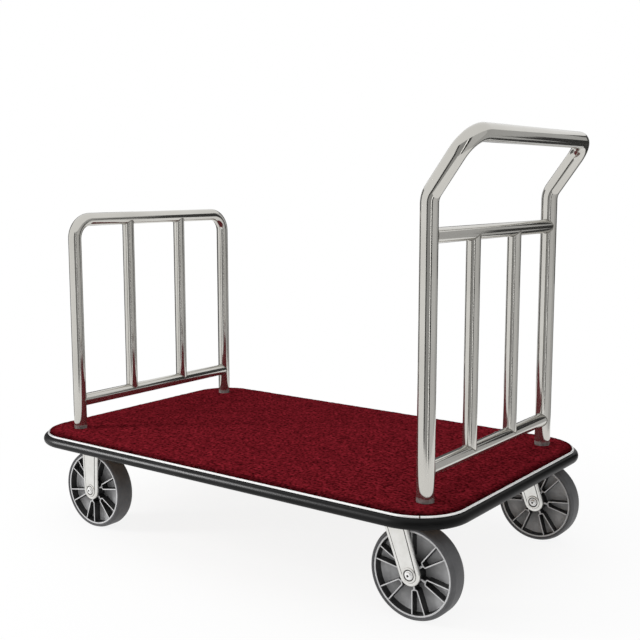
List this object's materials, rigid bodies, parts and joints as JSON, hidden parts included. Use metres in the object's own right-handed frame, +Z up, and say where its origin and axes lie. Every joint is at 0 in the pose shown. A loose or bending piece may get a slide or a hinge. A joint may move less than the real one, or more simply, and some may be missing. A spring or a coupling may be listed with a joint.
{
  "type": "hotel luggage cart",
  "caption": "Flat carpeted deck on fixed and swivel casters, with a low tubular guard at one end and a tall push handle at the other, for moving luggage.",
  "frame": {"origin": "on the floor below the middle of the deck", "axes": "+X along the deck to the push handle, +Y to the far side, +Z up"},
  "size_m": [1.1342, 0.693, 0.9012],
  "materials": {
    "stainless": "polished stainless tube",
    "plated_steel": "bright zinc plated pressed steel",
    "painted_steel": "satin black paint",
    "carpet": "short cut pile, dark red",
    "plywood": "plain plywood",
    "bumper_rubber": "smooth black rubber",
    "tyre_rubber": "matt grey rubber",
    "wheel_plastic": "moulded grey plastic"
  },
  "bodies": {
    "cart": {"deck_board": "plywood", "carpet": "carpet", "trim_strip": "stainless", "edge_band": "painted_steel", "bumper": "bumper_rubber", "long_rail_near": "painted_steel", "long_rail_far": "painted_steel", "cross_rail_1": "painted_steel", "cross_rail_2": "painted_steel", "cross_rail_3": "painted_steel", "guard_hoop": "stainless", "guard_lower_tube": "stainless", "guard_bar_near": "stainless", "guard_bar_far": "stainless", "handle_hoop": "stainless", "handle_upper_tube": "stainless", "handle_lower_tube": "stainless", "handle_bar_near": "stainless", "handle_bar_far": "stainless", "guard_near_plug": "plated_steel", "guard_near_bolt": "plated_steel", "guard_far_plug": "plated_steel", "guard_far_bolt": "plated_steel", "handle_near_plug": "plated_steel", "handle_near_bolt": "plated_steel", "handle_far_plug": "plated_steel", "handle_far_bolt": "plated_steel", "fixed_near_fork": "plated_steel", "fixed_near_axle_bolt": "plated_steel", "fixed_near_axle_nut": "plated_steel", "fixed_near_axle_sleeve": "plated_steel", "swivel_near_top_plate": "plated_steel", "swivel_near_swivel_race": "plated_steel", "swivel_near_kingpin": "plated_steel", "fixed_far_fork": "plated_steel", "fixed_far_axle_bolt": "plated_steel", "fixed_far_axle_nut": "plated_steel", "fixed_far_axle_sleeve": "plated_steel", "swivel_far_top_plate": "plated_steel", "swivel_far_swivel_race": "plated_steel", "swivel_far_kingpin": "plated_steel"},
    "swivel_near": {"swivel_near_fork": "plated_steel", "swivel_near_axle_bolt": "plated_steel", "swivel_near_axle_nut": "plated_steel", "swivel_near_axle_sleeve": "plated_steel"},
    "swivel_far": {"swivel_far_fork": "plated_steel", "swivel_far_axle_bolt": "plated_steel", "swivel_far_axle_nut": "plated_steel", "swivel_far_axle_sleeve": "plated_steel"},
    "fixed_near_wheel": {"fixed_near_wheel_centre": "wheel_plastic", "fixed_near_tyre": "tyre_rubber"},
    "fixed_far_wheel": {"fixed_far_wheel_centre": "wheel_plastic", "fixed_far_tyre": "tyre_rubber"},
    "swivel_near_wheel": {"swivel_near_wheel_centre": "wheel_plastic", "swivel_near_tyre": "tyre_rubber"},
    "swivel_far_wheel": {"swivel_far_wheel_centre": "wheel_plastic", "swivel_far_tyre": "tyre_rubber"}
  },
  "joints": [
    {"name": "swivel_near_turn", "type": "hinge", "parent": "cart", "child": "swivel_near", "pos_m": [0.423, -0.2645, 0.19], "axis": [0, 0, 1], "continuous": true},
    {"name": "swivel_near_spin", "type": "hinge", "parent": "swivel_near", "child": "swivel_near_wheel", "pos_m": [0.468, -0.2645, 0.09], "axis": [0, 1, 0], "continuous": true},
    {"name": "swivel_far_turn", "type": "hinge", "parent": "cart", "child": "swivel_far", "pos_m": [0.423, 0.2645, 0.19], "axis": [0, 0, 1], "continuous": true},
    {"name": "swivel_far_spin", "type": "hinge", "parent": "swivel_far", "child": "swivel_far_wheel", "pos_m": [0.468, 0.2645, 0.09], "axis": [0, 1, 0], "continuous": true},
    {"name": "fixed_near_spin", "type": "hinge", "parent": "cart", "child": "fixed_near_wheel", "pos_m": [-0.3955, -0.2645, 0.09], "axis": [0, 1, 0], "continuous": true},
    {"name": "fixed_far_spin", "type": "hinge", "parent": "cart", "child": "fixed_far_wheel", "pos_m": [-0.3955, 0.2645, 0.09], "axis": [0, 1, 0], "continuous": true}
  ]
}
